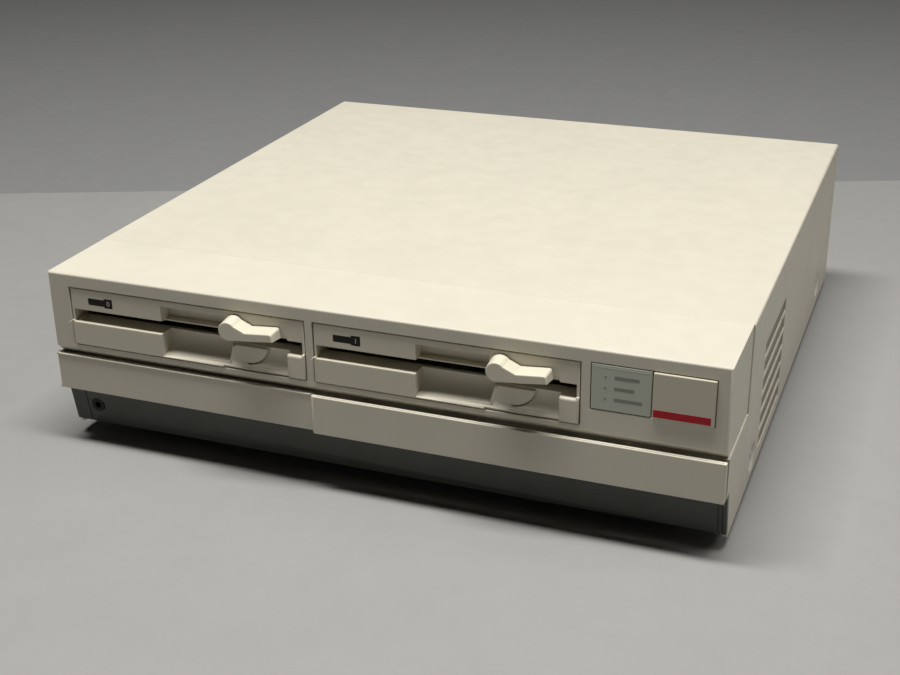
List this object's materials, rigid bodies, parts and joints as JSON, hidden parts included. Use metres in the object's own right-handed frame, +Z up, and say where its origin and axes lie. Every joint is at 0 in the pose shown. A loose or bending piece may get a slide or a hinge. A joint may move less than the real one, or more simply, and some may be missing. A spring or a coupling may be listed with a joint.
{
  "type": "desktop home computer",
  "caption": "Low cream desktop computer case with half-height disk drives that have turn levers, a status window, a power button and a flap over side controls.",
  "frame": {"origin": "on the ground under the middle of the whole, levers included", "axes": "+Z up, +Y towards the back, +X to the right of someone who faces the front"},
  "size_m": [0.389, 0.4052, 0.108],
  "materials": {
    "cover_paint": "fine satin paint",
    "case_plastic": "fine grained",
    "skirt_plastic": "fine grained",
    "button_plastic": "smooth",
    "knob_plastic": "smooth",
    "black_plastic": "smooth",
    "window_plastic": "smooth and translucent",
    "lamp_plastic": "clear tinted",
    "lamp_window_plastic": "smooth",
    "circuit_board": "lacquered board",
    "zinc_steel": "zinc plated",
    "bright_steel": "ground",
    "foot_rubber": "matte",
    "speaker_paper": "rough",
    "cable_plastic": "smooth",
    "drive_plastic": "fine grained",
    "lever_plastic": "smooth",
    "drive_casting": "cast",
    "pulley_metal": "turned"
  },
  "bodies": {
    "case": {"top_cover": "cover_paint", "front_bezel": "case_plastic", "lower_front_frame": "case_plastic", "right_front_panel": "case_plastic", "control_panel": "case_plastic", "front_skirt": "skirt_plastic", "keyboard_socket": "black_plastic", "headphone_socket": "black_plastic", "mains_inlet": "black_plastic", "power_switch": "black_plastic", "board_chips": "black_plastic", "rear_connectors": "black_plastic", "indicator_window": "window_plastic", "indicator_leds": "lamp_plastic", "lamp_windows": "lamp_window_plastic", "main_board": "circuit_board", "control_board": "circuit_board", "indicator_board": "circuit_board", "power_supply_board": "circuit_board", "left_drive_logic_board": "circuit_board", "right_drive_logic_board": "circuit_board", "chassis_tray": "zinc_steel", "rear_panel": "zinc_steel", "slot_covers": "zinc_steel", "drive_shelf": "zinc_steel", "power_supply_case": "zinc_steel", "volume_control": "zinc_steel", "left_drive_spindle_motor": "zinc_steel", "left_drive_stepper_motor": "zinc_steel", "right_drive_spindle_motor": "zinc_steel", "right_drive_stepper_motor": "zinc_steel", "cover_screws": "bright_steel", "chassis_screws": "bright_steel", "head_rails": "bright_steel", "feet": "foot_rubber", "speaker": "speaker_paper", "drive_cables": "cable_plastic", "left_drive_face": "drive_plastic", "right_drive_face": "drive_plastic", "left_drive_frame": "drive_casting", "right_drive_frame": "drive_casting"},
    "door": {"front_door": "case_plastic"},
    "left_lever": {"left_drive_lever": "lever_plastic", "left_drive_lever_shaft": "bright_steel"},
    "left_clamp": {"left_drive_clamp_arm": "zinc_steel"},
    "left_clamp_hub": {"left_drive_clamp_hub": "black_plastic"},
    "left_spindle": {"left_drive_spindle": "drive_casting"},
    "left_head_carriage": {"left_drive_head_carriage": "black_plastic"},
    "left_stepper_pulley": {"left_drive_stepper_pulley": "pulley_metal"},
    "right_lever": {"right_drive_lever": "lever_plastic", "right_drive_lever_shaft": "bright_steel"},
    "right_clamp": {"right_drive_clamp_arm": "zinc_steel"},
    "right_clamp_hub": {"right_drive_clamp_hub": "black_plastic"},
    "right_spindle": {"right_drive_spindle": "drive_casting"},
    "right_head_carriage": {"right_drive_head_carriage": "black_plastic"},
    "right_stepper_pulley": {"right_drive_stepper_pulley": "pulley_metal"},
    "power_button": {"power_button": "button_plastic"},
    "volume_knob": {"volume_knob": "knob_plastic"},
    "reset_button": {"reset_button": "knob_plastic"},
    "interrupt_button": {"interrupt_button": "knob_plastic"}
  },
  "joints": [
    {"name": "door_hinge", "type": "hinge", "parent": "case", "child": "door", "pos_m": [0, -0.18835, 0.0363], "axis": [1, 0, 0], "range_deg": [0, 90]},
    {"name": "left_lever_turn", "type": "hinge", "parent": "case", "child": "left_lever", "pos_m": [-0.0747, -0.19335, 0.0917], "axis": [0, 1, 0], "range_deg": [0, 90]},
    {"name": "left_clamp_press", "type": "slide", "parent": "case", "child": "left_clamp", "axis": [0, 0, -1], "range_m": [0, 0.0032]},
    {"name": "left_clamp_hub_spin", "type": "hinge", "parent": "left_clamp", "child": "left_clamp_hub", "pos_m": [-0.1068, -0.11535, 0.09], "axis": [0, 0, 1], "continuous": true},
    {"name": "left_spindle_spin", "type": "hinge", "parent": "case", "child": "left_spindle", "pos_m": [-0.1068, -0.11535, 0.076], "axis": [0, 0, 1], "continuous": true},
    {"name": "left_head_slide", "type": "slide", "parent": "case", "child": "left_head_carriage", "axis": [0, -1, 0], "range_m": [0, 0.021]},
    {"name": "left_pulley_turn", "type": "hinge", "parent": "case", "child": "left_stepper_pulley", "pos_m": [-0.0779, -0.04535, 0.076], "axis": [0, 0, 1], "range_deg": [0, 151]},
    {"name": "right_lever_turn", "type": "hinge", "parent": "case", "child": "right_lever", "pos_m": [0.0774, -0.19335, 0.0917], "axis": [0, 1, 0], "range_deg": [0, 90]},
    {"name": "right_clamp_press", "type": "slide", "parent": "case", "child": "right_clamp", "axis": [0, 0, -1], "range_m": [0, 0.0032]},
    {"name": "right_clamp_hub_spin", "type": "hinge", "parent": "right_clamp", "child": "right_clamp_hub", "pos_m": [0.0453, -0.11535, 0.09], "axis": [0, 0, 1], "continuous": true},
    {"name": "right_spindle_spin", "type": "hinge", "parent": "case", "child": "right_spindle", "pos_m": [0.0453, -0.11535, 0.076], "axis": [0, 0, 1], "continuous": true},
    {"name": "right_head_slide", "type": "slide", "parent": "case", "child": "right_head_carriage", "axis": [0, -1, 0], "range_m": [0, 0.021]},
    {"name": "right_pulley_turn", "type": "hinge", "parent": "case", "child": "right_stepper_pulley", "pos_m": [0.0742, -0.04535, 0.076], "axis": [0, 0, 1], "range_deg": [0, 151]},
    {"name": "power_button_press", "type": "slide", "parent": "case", "child": "power_button", "axis": [0, 1, 0], "range_m": [0, 0.003], "stiffness_N_per_m": 500},
    {"name": "volume_knob_turn", "type": "hinge", "parent": "case", "child": "volume_knob", "pos_m": [-0.159, -0.16235, 0.0482], "axis": [0, 1, 0], "range_deg": [-150, 150]},
    {"name": "reset_button_press", "type": "slide", "parent": "case", "child": "reset_button", "axis": [0, 1, 0], "range_m": [0, 0.002], "stiffness_N_per_m": 300},
    {"name": "interrupt_button_press", "type": "slide", "parent": "case", "child": "interrupt_button", "axis": [0, 1, 0], "range_m": [0, 0.002], "stiffness_N_per_m": 300}
  ],
  "couplings": [
    {"joint": "left_lever_turn", "follows": "left_clamp_press", "rad_per_m": 490},
    {"joint": "left_pulley_turn", "follows": "left_head_slide", "rad_per_m": 125},
    {"joint": "right_lever_turn", "follows": "right_clamp_press", "rad_per_m": 490},
    {"joint": "right_pulley_turn", "follows": "right_head_slide", "rad_per_m": 125}
  ]
}
